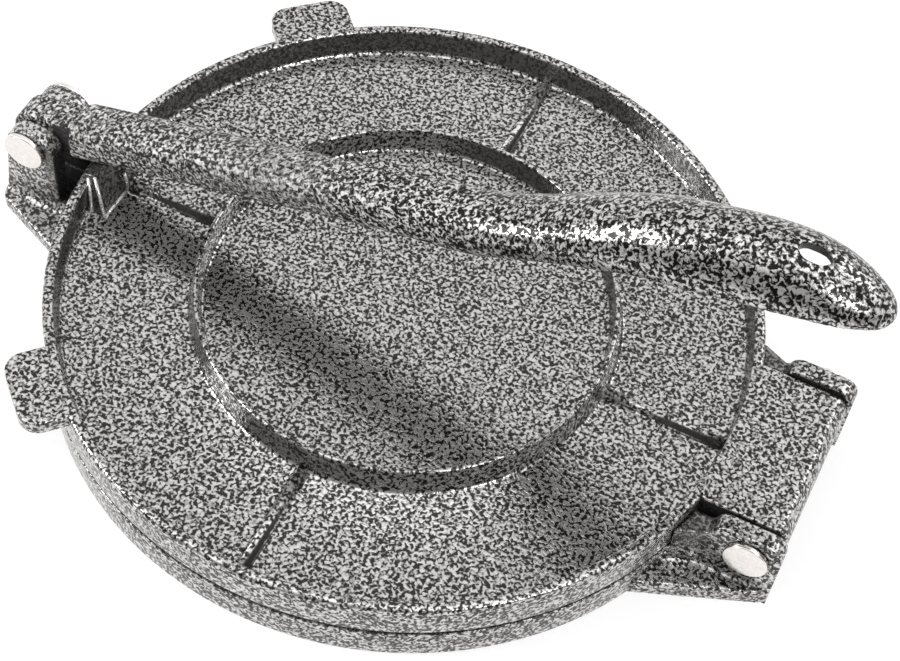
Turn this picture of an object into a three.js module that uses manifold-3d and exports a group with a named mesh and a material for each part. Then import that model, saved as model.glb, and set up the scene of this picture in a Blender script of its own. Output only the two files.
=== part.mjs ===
// A cast tortilla press: a round base, a hinged top plate and a lever that presses the two together.
// Lengths are millimetres. +X runs from the lever's pin to the tip of its grip and +Z is up.
// The base rests on z = 0 with its centre on the Z axis.
import * as THREE from "three";
import { mergeVertices } from "three/addons/utils/BufferGeometryUtils.js";
import Module from "manifold-3d";

const wasm = await Module();
wasm.setup();

// Fits
const clearance = 0.3;
const cutOverrun = 3;
const joinDepth = 1.4;

// Both plates are the same ribbed casting, laid face to face
const plateRadius = 101.5;
const plateDepth = 11.8;
const webThickness = 3.25;
const pressEdgeRound = 0.5;
const rimCrestWidth = 3.1;
const rimDraft = 0.9;
const rimEdgeRound = 1.2;
const rimInnerRound = 0.5;
const footFillet = 0.9;
const ringCrestRadius = 58.9;
const ringCrestWidth = 1.2;
const ringHeight = 7.9;
const ringInnerDraft = 0.7;
const ringOuterDraft = 1.5;
const ribCrestWidth = 2;
const ribDraft = 0.5;
const ribHeight = 2.3;
const ribTurnShares = [0, 0.25, 0.5, 0.75];

// Lifting tabs beside the clevis
const tabTurn = THREE.MathUtils.degToRad(46.9);
const tabLength = 11.6;
const tabWidth = 24.2;
const tabThickness = 4.5;
const tabCornerRadius = 5.5;

// Pins, each with a head at one end and a cap at the other
const pinRadius = 3.6;
const pinHeadRadius = 6.3;
const capHeadRadius = 5.8;
const pinHeadHeight = 1.6;
const pinHeadEdge = 0.5;
const capSocketDepth = 3.2;

// Clevis that holds the lever's pin, with its foot
const leverPinStandOff = 17.25;
const leverPinHeight = 26.05;
const clevisSlotWidth = 10.2;
const clevisEarThickness = 5.4;
const clevisEarDraft = 0.6;
const clevisEarRadius = 6.6;
const clevisEarBack = 8.75;
const clevisEarFront = 9.2;
const clevisFrontCorner = 6.3;
const clevisFootFillet = 3;
const clevisFootTipWidth = 28.4;
const clevisFootRootWidth = 55;
const clevisFootSetback = 5.5;
const footFlangeThickness = 4.4;
const clevisFootCorner = 4.6;
const footEdgeRound = 1.5;
const earFootThickness = 3;

// Hinge pin, its ears and the tongue between them
const hingePinStandOff = 14.4;
const hingePinHeight = 17.65;
const hingeSlotWidth = 50.8;
const hingeEarThickness = 5.5;
const hingeEarDraft = 0.6;
const hingeEarStandOff = 3.1;
const hingeEarBeyondPin = 9.1;
const hingeEarTop = 26.3;
const hingeEarCorner = 4.6;
const hingeRootTop = 20.3;
const hingeRootFillet = 1.6;
const hingeRootFlare = 3.4;
const hingeRootSetback = 13.5;
const hingeFootThickness = 6;
const hingeFootTipWidth = 63;
const hingeFootRootWidth = 93.8;
const hingeFootCorner = 2.5;
const hingeFootNotch = 12.8;
const tongueSideGap = 0.7;
const tongueRootSetback = 11.5;
const barrelRadius = 8.4;

// Lever: hub, straight bar and rounded hollow grip
const hubSideGap = 0.4;
const hubRadius = 7.9;
const tipBeyondPin = 7.65;
const barStart = 12.75;
const barStraightEnd = 110;
const barWidth = 15.2;
const barCrownStart = 11.8;
const barBellyStart = -2.1;
const barRisePerRunShare = 0.282;
const barSquarenessShare = 3.2;
const barWidestShare = 0.5;
const gripWidth = 26.2;
const gripCrownHeight = 80.8;
const gripWall = 3.4;
const gripEdgeWall = 2;
const hollowStartShare = 0.655;
const hollowEndShare = 0.955;
const hangHoleShare = 0.9056;
const hangHoleLength = 8.8;
const hangHoleWidth = 5.8;

// Boss on the top plate that the lever presses on, measured inward from the plate's edge
const bossTopOuter = 1.9;
const bossTopInner = 5.5;
const bossFootOuter = 2.7;
const bossFootInner = 10.8;
const bossTopWidth = 20;
const bossFootWidth = 29.5;
const gussetInner = 9.7;
const gussetWidth = 2.8;
const gussetTop = 21.2;

const halfTurn = Math.PI;
const turn = 2 * Math.PI;
const plateSides = 96;
const pinSides = 32;
const pressFaceHeight = plateDepth + clearance;
const rimHeight = pressFaceHeight + plateDepth;
const webHeight = pressFaceHeight + webThickness;
const leverBore = pinRadius + clearance;
const leverPinReach = plateRadius + leverPinStandOff;
const hingePinReach = plateRadius + hingePinStandOff;
const clevisFootReach = leverPinReach + clevisEarBack;
const leverReach = 2 * leverPinReach + tipBeyondPin;
const hubWidth = clevisSlotWidth - 2 * hubSideGap;
const hingeEarStart = plateRadius + hingeEarStandOff;
const hingeEarEnd = hingePinReach + hingeEarBeyondPin;
const hingeRootReach = plateRadius - hingeRootSetback;

// Each row: distance from the pin, half width, crown, belly, squareness, and the share where it is widest.
// The first is a share of the reach, the second of half the grip's width, the next two of the crown's height.
const gripStationShares = [
  [0.5048, 0.626, 0.5334, 0.3564, 3, 0.5],
  [0.566, 0.687, 0.5953, 0.4035, 2.5, 0.44],
  [0.6272, 0.779, 0.6931, 0.5111, 2.2, 0.34],
  [0.6884, 0.878, 0.8168, 0.6287, 2, 0.21],
  [0.7495, 0.954, 0.9072, 0.7286, 2, 0.1],
  [0.8107, 0.992, 0.9616, 0.7863, 2, 0.06],
  [0.8515, 1, 0.9876, 0.8182, 2, 0.06],
  [0.8801, 0.985, 1, 0.8365, 2, 0.06],
  [0.9045, 0.954, 1, 0.8495, 2, 0.06],
  [0.9249, 0.901, 0.9913, 0.8557, 2, 0.06],
  [0.9453, 0.817, 0.974, 0.8579, 2, 0.06],
  [0.9657, 0.687, 0.948, 0.8557, 2, 0.08],
  [0.9821, 0.527, 0.9208, 0.8509, 2, 0.15],
  [0.9943, 0.321, 0.8911, 0.8465, 2, 0.3],
  [1, 0.053, 0.8651, 0.8577, 2, 0.4],
];

// A closed solid from a geometry whose seams and doubled corners are merged
function solid(geometry) {
  const bare = geometry.clone();
  bare.deleteAttribute("normal");
  bare.deleteAttribute("uv");
  const merged = mergeVertices(bare);
  const vertProperties = new Float32Array(merged.attributes.position.array);
  const triVerts = new Uint32Array(merged.index.array);
  return new wasm.Manifold(new wasm.Mesh({ numProp: 3, vertProperties, triVerts }));
}

function joined(first, ...others) {
  return others.reduce((body, other) => body.add(other), first);
}

function cut(first, ...others) {
  return others.reduce((body, other) => body.subtract(other), first);
}

function geometryOf(body) {
  const mesh = body.getMesh();
  const geometry = new THREE.BufferGeometry();
  geometry.setAttribute("position", new THREE.BufferAttribute(new Float32Array(mesh.vertProperties), 3));
  geometry.setIndex(new THREE.BufferAttribute(new Uint32Array(mesh.triVerts), 1));
  const faceted = geometry.toNonIndexed();
  faceted.computeVertexNormals();
  return faceted;
}

// Points on an arc, from one angle to another
function arc(centreX, centreY, radius, start, end, steps) {
  return Array.from({ length: steps + 1 }, (_, step) => {
    const angle = start + ((end - start) * step) / steps;
    return new THREE.Vector2(centreX + radius * Math.cos(angle), centreY + radius * Math.sin(angle));
  });
}

// A profile turned round the Z axis
function turned(profile, sides) {
  return new THREE.LatheGeometry(profile, sides).rotateX(halfTurn / 2);
}

// A plan outline raised from one height to another
function raised(outline, bottom, top) {
  const geometry = new THREE.ExtrudeGeometry(new THREE.Shape(outline), {
    depth: top - bottom,
    bevelEnabled: false,
  });
  return geometry.translate(0, 0, bottom);
}

// A side outline in X and Z, spread along Y between two limits
function spread(outline, nearY, farY) {
  const geometry = new THREE.ExtrudeGeometry(new THREE.Shape(outline), {
    depth: farY - nearY,
    bevelEnabled: false,
  });
  return geometry.rotateX(halfTurn / 2).translate(0, farY, 0);
}

// A round bar across the press, along Y
function crossBar(reach, height, radius, nearY, farY) {
  const bar = new THREE.CylinderGeometry(radius, radius, farY - nearY, pinSides);
  return bar.translate(reach, (nearY + farY) / 2, height);
}

// Rings of points skinned into one closed body; each ring runs round the section the same way
function skinned(rings) {
  const count = rings[0].length;
  const positions = rings.flatMap((ring) => ring.flatMap((point) => [point.x, point.y, point.z]));
  const faces = [];
  for (let row = 0; row + 1 < rings.length; row += 1) {
    for (let side = 0; side < count; side += 1) {
      const next = (side + 1) % count;
      const here = row * count + side;
      const beside = row * count + next;
      faces.push(here, beside, here + count, beside, beside + count, here + count);
    }
  }
  const lastRow = (rings.length - 1) * count;
  for (let side = 1; side + 1 < count; side += 1) {
    faces.push(0, side + 1, side);
    faces.push(lastRow, lastRow + side, lastRow + side + 1);
  }
  const geometry = new THREE.BufferGeometry();
  geometry.setAttribute("position", new THREE.Float32BufferAttribute(positions, 3));
  geometry.setIndex(faces);
  return geometry;
}

// One plate casting: press face on z = 0, rim, ring and ribs standing up from the web
function plateProfile() {
  const rimInner = plateRadius - rimCrestWidth;
  const rimFoot = rimInner - rimDraft;
  const ringOuter = ringCrestRadius + ringCrestWidth;
  return [
    new THREE.Vector2(0, 0),
    ...arc(plateRadius - pressEdgeRound, pressEdgeRound, pressEdgeRound, -halfTurn / 2, 0, 2),
    ...arc(plateRadius - rimEdgeRound, plateDepth - rimEdgeRound, rimEdgeRound, 0, halfTurn / 2, 3),
    ...arc(rimInner + rimInnerRound, plateDepth - rimInnerRound, rimInnerRound, halfTurn / 2, halfTurn, 2),
    ...arc(rimFoot - footFillet, webThickness + footFillet, footFillet, 0, -halfTurn / 2, 2),
    new THREE.Vector2(ringOuter + ringOuterDraft + footFillet, webThickness),
    new THREE.Vector2(ringOuter + ringOuterDraft, webThickness + footFillet),
    new THREE.Vector2(ringOuter, webThickness + ringHeight),
    new THREE.Vector2(ringCrestRadius, webThickness + ringHeight),
    new THREE.Vector2(ringCrestRadius - ringInnerDraft, webThickness + footFillet),
    new THREE.Vector2(ringCrestRadius - ringInnerDraft - footFillet, webThickness),
    new THREE.Vector2(0, webThickness),
  ];
}

function ribOutline() {
  const crest = ribCrestWidth / 2;
  const foot = crest + ribDraft;
  return [
    new THREE.Vector2(-foot, webThickness - joinDepth),
    new THREE.Vector2(foot, webThickness - joinDepth),
    new THREE.Vector2(foot, webThickness),
    new THREE.Vector2(crest, webThickness + ribHeight),
    new THREE.Vector2(-crest, webThickness + ribHeight),
    new THREE.Vector2(-foot, webThickness),
  ];
}

function plateRib(turnShare) {
  const start = ringCrestRadius + ringCrestWidth / 2;
  const end = plateRadius - rimCrestWidth / 2;
  const geometry = new THREE.ExtrudeGeometry(new THREE.Shape(ribOutline()), {
    depth: end - start,
    bevelEnabled: false,
  });
  geometry.rotateX(halfTurn / 2).rotateZ(halfTurn / 2).translate(start, 0, 0);
  return geometry.rotateZ(turn * turnShare);
}

function plateCasting() {
  const ribs = ribTurnShares.map((share) => solid(plateRib(share)));
  return joined(solid(turned(plateProfile(), plateSides)), ...ribs);
}

// Tab with rounded outer corners, its top level with the rim
function liftingTab(side) {
  const half = tabWidth / 2;
  const corner = plateRadius + tabLength - tabCornerRadius;
  const root = plateRadius - rimCrestWidth / 2;
  const outline = [
    new THREE.Vector2(root, -half),
    ...arc(corner, tabCornerRadius - half, tabCornerRadius, -halfTurn / 2, 0, 5),
    ...arc(corner, half - tabCornerRadius, tabCornerRadius, 0, halfTurn / 2, 5),
    new THREE.Vector2(root, half),
  ];
  return raised(outline, rimHeight - tabThickness, rimHeight).rotateZ(halfTurn - side * tabTurn);
}

// Tongue at the hinge, flush with the rim and ending in a barrel round the hinge pin
function hingeTongue() {
  const half = hingeSlotWidth / 2 - tongueSideGap;
  const root = plateRadius - tongueRootSetback;
  const outline = [
    new THREE.Vector2(root, pressFaceHeight),
    new THREE.Vector2(hingePinReach, pressFaceHeight),
    new THREE.Vector2(hingePinReach, rimHeight),
    new THREE.Vector2(root, rimHeight),
  ];
  const recess = plateRadius - rimCrestWidth;
  const room = new THREE.CylinderGeometry(recess, recess, plateDepth, plateSides)
    .rotateX(halfTurn / 2).translate(0, 0, webHeight + plateDepth / 2);
  const barrel = solid(crossBar(hingePinReach, hingePinHeight, barrelRadius, -half, half));
  const above = new THREE.BoxGeometry(barrelRadius * 3, hingeSlotWidth * 2, barrelRadius)
    .translate(hingePinReach, 0, rimHeight + barrelRadius / 2);
  return cut(joined(solid(spread(outline, -half, half)), barrel), solid(room), solid(above));
}

function bellyHeight(reach) {
  return leverPinHeight + barBellyStart + (leverPinReach - reach - barStart) * barRisePerRunShare;
}

// Tapered block over the rim whose top follows the lever's underside
function leverBoss() {
  const block = new THREE.BoxGeometry(bossFootInner, bossFootWidth, plateDepth);
  const position = block.attributes.position;
  for (let index = 0; index < position.count; index += 1) {
    const outer = position.getX(index) < 0;
    const side = Math.sign(position.getY(index));
    const top = position.getZ(index) > 0;
    const topReach = plateRadius - (outer ? bossTopOuter : bossTopInner);
    const footReach = plateRadius - (outer ? bossFootOuter : bossFootInner);
    const reach = top ? topReach : footReach;
    const width = top ? bossTopWidth : bossFootWidth;
    const height = top ? bellyHeight(topReach) - clearance : webHeight - joinDepth;
    position.setXYZ(index, -reach, (side * width) / 2, height);
  }
  return block;
}

function bossGusset() {
  const length = gussetInner - bossFootOuter;
  const height = gussetTop - webHeight + joinDepth;
  const box = new THREE.BoxGeometry(length, gussetWidth, height);
  return box.translate(gussetInner - length / 2 - plateRadius, 0, gussetTop - height / 2);
}

function pinBore(reach, height, halfLength) {
  return solid(crossBar(reach, height, leverBore, -halfLength - cutOverrun, halfLength + cutOverrun));
}

function topPlateBody() {
  const casting = plateCasting().translate([0, 0, pressFaceHeight]);
  const tabs = [-1, 1].map((side) => solid(liftingTab(side)));
  const body = joined(casting, ...tabs, hingeTongue(), solid(leverBoss()), solid(bossGusset()));
  return cut(body, pinBore(hingePinReach, hingePinHeight, hingeSlotWidth / 2));
}

// Widens the outer side of an ear towards its foot
function drafted(geometry, innerY, foot, top, draft) {
  const position = geometry.attributes.position;
  for (let index = 0; index < position.count; index += 1) {
    const y = position.getY(index);
    if (Math.abs(y) > innerY) {
      const drop = (top - position.getZ(index)) / (top - foot);
      position.setY(index, y + Math.sign(y) * draft * drop);
    }
  }
  return geometry;
}

function clevisEarOutline() {
  const front = -leverPinReach + clevisEarFront;
  const top = leverPinHeight + clevisEarRadius;
  return [
    new THREE.Vector2(-clevisFootReach, 0),
    new THREE.Vector2(-plateRadius + joinDepth, 0),
    new THREE.Vector2(-plateRadius + joinDepth, footFlangeThickness),
    new THREE.Vector2(front, footFlangeThickness + earFootThickness),
    ...arc(front - clevisFrontCorner, top - clevisFrontCorner, clevisFrontCorner, 0, halfTurn / 2, 6),
    ...arc(-leverPinReach, leverPinHeight, clevisEarRadius, halfTurn / 2, halfTurn, 8),
  ];
}

function clevisEar(side) {
  const inner = clevisSlotWidth / 2;
  const outer = inner + clevisEarThickness;
  const ear = spread(clevisEarOutline(), side > 0 ? inner : -outer, side > 0 ? outer : -inner);
  const middle = inner + clevisEarThickness / 2;
  return drafted(ear, middle, 0, leverPinHeight + clevisEarRadius, clevisEarDraft);
}

// Hollow-cornered strip along the foot of an ear's outer face
function footFilletStrip(side, face, radius, start, end) {
  const outline = [
    new THREE.Vector2(face - joinDepth, footFlangeThickness - joinDepth),
    new THREE.Vector2(face + radius, footFlangeThickness - joinDepth),
    ...arc(face + radius, footFlangeThickness + radius, radius, -halfTurn / 2, -halfTurn, 5),
    new THREE.Vector2(face - joinDepth, footFlangeThickness + radius),
  ];
  const mirrored = outline.map((point) => new THREE.Vector2(side * point.x, point.y));
  const geometry = new THREE.ExtrudeGeometry(new THREE.Shape(mirrored), {
    depth: end - start,
    bevelEnabled: false,
  });
  return geometry.rotateX(halfTurn / 2).rotateZ(halfTurn / 2).translate(start, 0, 0);
}

// Plan of a foot that runs from the skirt out under a pair of ears, its outer corners rounded
function footOutline(rootReach, tipReach, rootWidth, tipWidth, corner) {
  const slope = Math.atan2(rootWidth / 2 - tipWidth / 2, tipReach - rootReach);
  const setback = corner * Math.tan((halfTurn / 2 - slope) / 2);
  const cornerX = tipReach - corner;
  const cornerY = tipWidth / 2 - setback;
  return [
    new THREE.Vector2(rootReach, -rootWidth / 2),
    ...arc(cornerX, -cornerY, corner, slope - halfTurn / 2, 0, 4),
    ...arc(cornerX, cornerY, corner, 0, halfTurn / 2 - slope, 4),
    new THREE.Vector2(rootReach, rootWidth / 2),
  ];
}

// Foot standing on z = 0 with rounded edges
function footSlab(outline, thickness) {
  const geometry = new THREE.ExtrudeGeometry(new THREE.Shape(outline), {
    depth: thickness - 2 * footEdgeRound,
    bevelThickness: footEdgeRound,
    bevelSize: footEdgeRound,
    bevelOffset: -footEdgeRound,
    bevelSegments: 3,
  });
  return geometry.translate(0, 0, footEdgeRound);
}

function clevisFoot() {
  const root = plateRadius - clevisFootSetback;
  const widths = [clevisFootRootWidth, clevisFootTipWidth];
  const outline = footOutline(root, clevisFootReach, ...widths, clevisFootCorner);
  return solid(footSlab(outline, footFlangeThickness).rotateZ(halfTurn));
}

// The hinge's foot is notched between the ears, under the tongue
function hingeFoot() {
  const widths = [hingeFootRootWidth, hingeFootTipWidth];
  const outline = footOutline(hingeRootReach, hingeEarEnd, ...widths, hingeFootCorner);
  const notch = new THREE.BoxGeometry(hingeFootNotch * 2, hingeSlotWidth, hingeFootThickness * 3)
    .translate(hingeEarEnd, 0, hingeFootThickness / 2);
  return cut(solid(footSlab(outline, hingeFootThickness)), solid(notch));
}

// Ear of the hinge: a low root along the skirt, then the full ear with rounded top corners
function hingeEarOutline() {
  return [
    new THREE.Vector2(hingeRootReach, 0),
    new THREE.Vector2(hingeEarEnd, 0),
    ...arc(hingeEarEnd - hingeEarCorner, hingeEarTop - hingeEarCorner, hingeEarCorner, 0, halfTurn / 2, 5),
    ...arc(hingeEarStart + hingeEarCorner, hingeEarTop - hingeEarCorner, hingeEarCorner,
      halfTurn / 2, halfTurn, 5).slice(0, -1),
    ...arc(hingeEarStart - hingeRootFillet, hingeRootTop + hingeRootFillet, hingeRootFillet,
      0, -halfTurn / 2, 3).slice(1),
    new THREE.Vector2(hingeRootReach, hingeRootTop),
  ];
}

function hingeEar(side) {
  const inner = hingeSlotWidth / 2;
  const outer = inner + hingeEarThickness;
  const ear = spread(hingeEarOutline(), side > 0 ? inner : -outer, side > 0 ? outer : -inner);
  return drafted(ear, inner + hingeEarThickness / 2, 0, hingeEarTop, hingeEarDraft);
}

// Wedge that widens the root of a hinge ear towards the skirt
function hingeRootWedge(side) {
  const face = hingeSlotWidth / 2 + hingeEarThickness;
  const outline = [
    new THREE.Vector2(hingeRootReach, face - joinDepth),
    new THREE.Vector2(hingeEarStart, face - joinDepth),
    new THREE.Vector2(hingeEarStart, face),
    new THREE.Vector2(hingeRootReach, face + hingeRootFlare * 2),
  ];
  const points = side > 0 ? outline : outline.map((point) => new THREE.Vector2(point.x, -point.y));
  return raised(points, 0, hingeRootTop);
}

// Room that the lugs stay out of: the base's own hollow, then the top plate
function baseHollow() {
  const inner = plateRadius - rimCrestWidth - rimDraft / 2;
  const depth = plateDepth - webThickness;
  return new THREE.CylinderGeometry(inner, inner, depth + cutOverrun, plateSides)
    .rotateX(halfTurn / 2).translate(0, 0, (depth - cutOverrun) / 2);
}

function topPlateRoom() {
  const radius = plateRadius + clearance;
  const bottom = plateDepth - webThickness / 2;
  const height = rimHeight + cutOverrun - bottom;
  return new THREE.CylinderGeometry(radius, radius, height, plateSides)
    .rotateX(halfTurn / 2).translate(0, 0, bottom + height / 2);
}

function lugsOnOneSide(side) {
  const clevisFace = clevisSlotWidth / 2 + clevisEarThickness + clevisEarDraft;
  const clevisRoot = -plateRadius + joinDepth;
  const clevisTip = clevisFootCorner - clevisFootReach;
  return joined(
    solid(clevisEar(side)),
    solid(footFilletStrip(side, clevisFace, clevisFootFillet, clevisTip, clevisRoot)),
    solid(hingeEar(side)),
    solid(hingeRootWedge(side)),
  );
}

function basePlateBody() {
  const casting = plateCasting().rotate([180, 0, 0]).translate([0, 0, plateDepth]);
  const lugs = joined(clevisFoot(), hingeFoot(), lugsOnOneSide(-1), lugsOnOneSide(1));
  const trimmed = cut(lugs, solid(baseHollow()), solid(topPlateRoom()));
  const bores = [
    pinBore(-leverPinReach, leverPinHeight, clevisSlotWidth),
    pinBore(hingePinReach, hingePinHeight, hingeSlotWidth),
  ];
  return cut(joined(casting, trimmed), ...bores);
}

// Stations along the lever: distance from the pin, half width, crown, belly, squareness, widest share
function leverStations() {
  const barStations = [0, 0.3, 0.65, 1].map((share) => {
    const run = (barStraightEnd - barStart) * share;
    const rise = run * barRisePerRunShare;
    const heights = [barCrownStart + rise, barBellyStart + rise];
    return [barStart + run, barWidth / 2, ...heights, barSquarenessShare, barWidestShare];
  });
  const gripStations = gripStationShares.map(([along, width, crown, belly, squareness, widest]) => {
    const heights = [crown * gripCrownHeight, belly * gripCrownHeight];
    return [along * leverReach, (width * gripWidth) / 2, ...heights, squareness, widest];
  });
  return [...barStations, ...gripStations];
}

// The stations smoothed by curves through them
function leverSections(stepsPerStation) {
  const stations = leverStations();
  const heights = stations.map(([along, , crown, belly]) => new THREE.Vector3(along, crown, belly));
  const widths = stations.map(([, halfWidth, , , ...shape]) => new THREE.Vector3(halfWidth, ...shape));
  const heightCurve = new THREE.CatmullRomCurve3(heights, false, "catmullrom");
  const widthCurve = new THREE.CatmullRomCurve3(widths, false, "catmullrom");
  const steps = (stations.length - 1) * stepsPerStation;
  return Array.from({ length: steps + 1 }, (_, step) => {
    const height = heightCurve.getPoint(step / steps);
    const width = widthCurve.getPoint(step / steps);
    const middle = height.z + (height.y - height.z) * width.z;
    return { along: height.x, crown: height.y, belly: height.z, middle, half: width.x, squareness: width.y };
  });
}

function roundedPower(value, squareness) {
  return Math.sign(value) * Math.abs(value) ** (2 / squareness);
}

function leverRing(section) {
  const sides = 28;
  return Array.from({ length: sides }, (_, side) => {
    const angle = (turn * side) / sides;
    const y = section.half * roundedPower(Math.cos(angle), section.squareness);
    const end = side < sides / 2 ? section.crown : section.belly;
    const rise = Math.abs(roundedPower(Math.sin(angle), section.squareness));
    return new THREE.Vector3(section.along, y, section.middle + rise * (end - section.middle));
  });
}

// Arched hollow under the grip, open below, its wall thinner towards the edges
function hollowRing(section, depthShare) {
  const sides = 12;
  const half = section.half - gripEdgeWall;
  const middle = section.middle;
  const arch = (section.crown - gripWall - middle) * depthShare;
  const floor = section.belly - cutOverrun;
  const roof = Array.from({ length: sides + 1 }, (_, side) => {
    const angle = (halfTurn * side) / sides;
    return new THREE.Vector3(section.along, half * Math.cos(angle), middle + arch * Math.sin(angle));
  });
  return [
    new THREE.Vector3(section.along, half, floor),
    ...roof,
    new THREE.Vector3(section.along, -half, floor),
  ];
}

function gripHollow() {
  const within = leverSections(2).filter(({ along }) => {
    return along > hollowStartShare * leverReach && along < hollowEndShare * leverReach;
  });
  const last = within.length - 1;
  return skinned(within.map((section, index) => {
    return hollowRing(section, index === 0 || index === last ? 0.4 : 1);
  }));
}

function hangHole() {
  const length = gripWidth;
  const hole = new THREE.CylinderGeometry(hangHoleWidth / 2, hangHoleWidth / 2, length, pinSides);
  hole.rotateX(halfTurn / 2).scale(hangHoleLength / hangHoleWidth, 1, 1);
  return hole.translate(hangHoleShare * leverReach, 0, gripCrownHeight);
}

// Hub and neck that fill the clevis slot, with a shoulder where the bar starts
function leverNeck() {
  const outline = [
    new THREE.Vector2(0, -hubRadius),
    new THREE.Vector2(barStart, barBellyStart),
    new THREE.Vector2(barStart + joinDepth, barBellyStart + joinDepth),
    new THREE.Vector2(barStart + joinDepth, barCrownStart - joinDepth / 2),
    new THREE.Vector2(0, hubRadius),
  ];
  return spread(outline, -hubWidth / 2, hubWidth / 2);
}

function leverBody() {
  const hub = solid(crossBar(0, 0, hubRadius, -hubWidth / 2, hubWidth / 2));
  const bar = solid(skinned(leverSections(2).map(leverRing)));
  const body = joined(bar, hub, solid(leverNeck()));
  return cut(body, solid(gripHollow()), solid(hangHole()), pinBore(0, 0, hubWidth));
}

// Headed pin lying along Y with its head on the -Y side, and the cap that closes the other end
function pinProfile(grip) {
  const shankEnd = grip + clearance + pinHeadHeight / 2;
  return [
    new THREE.Vector2(0, -pinHeadHeight),
    new THREE.Vector2(pinHeadRadius - pinHeadEdge, -pinHeadHeight),
    new THREE.Vector2(pinHeadRadius, pinHeadEdge - pinHeadHeight),
    new THREE.Vector2(pinHeadRadius, 0),
    new THREE.Vector2(pinRadius, 0),
    new THREE.Vector2(pinRadius, grip - capSocketDepth),
    new THREE.Vector2(pinRadius / 2, grip - capSocketDepth),
    new THREE.Vector2(pinRadius / 2, shankEnd - clearance),
    new THREE.Vector2(0, shankEnd - clearance),
  ];
}

function capProfile() {
  const socket = pinRadius / 2 + clearance;
  const roof = clearance + pinHeadHeight / 2;
  return [
    new THREE.Vector2(0, roof),
    new THREE.Vector2(socket, roof),
    new THREE.Vector2(socket, clearance - capSocketDepth),
    new THREE.Vector2(pinRadius, clearance - capSocketDepth),
    new THREE.Vector2(pinRadius, 0),
    new THREE.Vector2(capHeadRadius, 0),
    new THREE.Vector2(capHeadRadius, pinHeadHeight - pinHeadEdge),
    new THREE.Vector2(capHeadRadius - pinHeadEdge, pinHeadHeight),
    new THREE.Vector2(0, pinHeadHeight),
  ];
}

// Turned pieces stand along Z; this lays them along +Y from a starting point
function laidAcross(geometry, reach, height, startY) {
  return geometry.rotateX(-halfTurn / 2).translate(reach, startY, height);
}

function pinBody(reach, height, halfGrip) {
  return solid(laidAcross(turned(pinProfile(2 * halfGrip), pinSides), reach, height, -halfGrip));
}

function capBody(reach, height, halfGrip) {
  return solid(laidAcross(turned(capProfile(), pinSides), reach, height, halfGrip));
}

function vein() {
  return new THREE.MeshStandardMaterial({ color: 0x8f8d8b, roughness: 0.38, metalness: 0.55 });
}

function bright() {
  return new THREE.MeshStandardMaterial({ color: 0xe6ddd4, roughness: 0.22, metalness: 0.95 });
}

function piece(name, body, material) {
  const mesh = new THREE.Mesh(geometryOf(body), material);
  mesh.name = name;
  return mesh;
}

// Distance from the middle plane to where a head bears on the drafted ear
function earFace(slot, thickness, draft, top, height) {
  return slot / 2 + thickness + (draft * (top - height + pinHeadRadius)) / top + clearance;
}

function lever() {
  const swing = new THREE.Group();
  swing.name = "lever_swing_axis";
  swing.position.set(-leverPinReach, 0, leverPinHeight);
  swing.add(piece("lever", leverBody(), vein()));
  return swing;
}

const press = new THREE.Group();
press.name = "tortilla_press";

const clevisTop = leverPinHeight + clevisEarRadius;
const clevisFace = earFace(clevisSlotWidth, clevisEarThickness, clevisEarDraft, clevisTop, leverPinHeight);
const hingeFace = earFace(hingeSlotWidth, hingeEarThickness, hingeEarDraft, hingeEarTop, hingePinHeight);

press.add(piece("base_plate", basePlateBody(), vein()));
press.add(piece("top_plate", topPlateBody(), vein()));
press.add(lever());
press.add(piece("lever_pin", pinBody(-leverPinReach, leverPinHeight, clevisFace), bright()));
press.add(piece("lever_pin_cap", capBody(-leverPinReach, leverPinHeight, clevisFace), bright()));
press.add(piece("hinge_pin", pinBody(hingePinReach, hingePinHeight, hingeFace), bright()));
press.add(piece("hinge_pin_cap", capBody(hingePinReach, hingePinHeight, hingeFace), bright()));

export default press;
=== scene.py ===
from math import atan2, cos, pi, radians, sin, tan

import bmesh
import bpy
from mathutils import Matrix, Vector


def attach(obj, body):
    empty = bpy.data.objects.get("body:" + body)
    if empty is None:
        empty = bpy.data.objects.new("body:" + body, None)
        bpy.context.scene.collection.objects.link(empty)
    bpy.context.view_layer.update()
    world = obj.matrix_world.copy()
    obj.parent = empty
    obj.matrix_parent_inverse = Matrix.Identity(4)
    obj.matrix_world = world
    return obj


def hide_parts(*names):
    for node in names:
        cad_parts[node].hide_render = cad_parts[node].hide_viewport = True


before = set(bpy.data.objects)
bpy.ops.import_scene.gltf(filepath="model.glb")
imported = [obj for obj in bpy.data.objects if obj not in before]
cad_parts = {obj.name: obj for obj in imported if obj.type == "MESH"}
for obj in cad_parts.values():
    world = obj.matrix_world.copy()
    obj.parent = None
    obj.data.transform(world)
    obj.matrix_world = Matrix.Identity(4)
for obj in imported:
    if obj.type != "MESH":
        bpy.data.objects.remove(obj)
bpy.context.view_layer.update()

# A cast tortilla press: base, hinged top plate and lever, drawn in millimetres and laid in metres.
# +X runs from the lever's pin to the tip of its grip, and +Z is up. Materials read metres.

MILLIMETRE = 0.001
CLEARANCE = 0.3

# How far fused solids run into each other, how long a cutter is that goes right through, and how
# far the room cut for the top plate reaches below the base's press face
TUCK = 1.4
THROUGH = 60
ROOM_OVERLAP = 0.6

# Both plates are the same ribbed casting
PLATE_RADIUS = 101.5
PLATE_DEPTH = 11.8
WEB = 3.25
PRESS_FACE = PLATE_DEPTH + CLEARANCE
RIM_TOP = PRESS_FACE + PLATE_DEPTH
SEAM_DEPTH = 1.3
SEAM_HEIGHT = 0.55
RIM_CREST = 3.1
RIM_DRAFT = 0.9
RING_RADIUS = 58.9
RING_CREST = 1.2
RING_HEIGHT = 7.9
RING_OUTER_DRAFT = 1.5
RING_INNER_DRAFT = 0.7
RIB_CREST = 2.0
RIB_HEIGHT = 2.3
RIB_FLARE = 1.3

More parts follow.
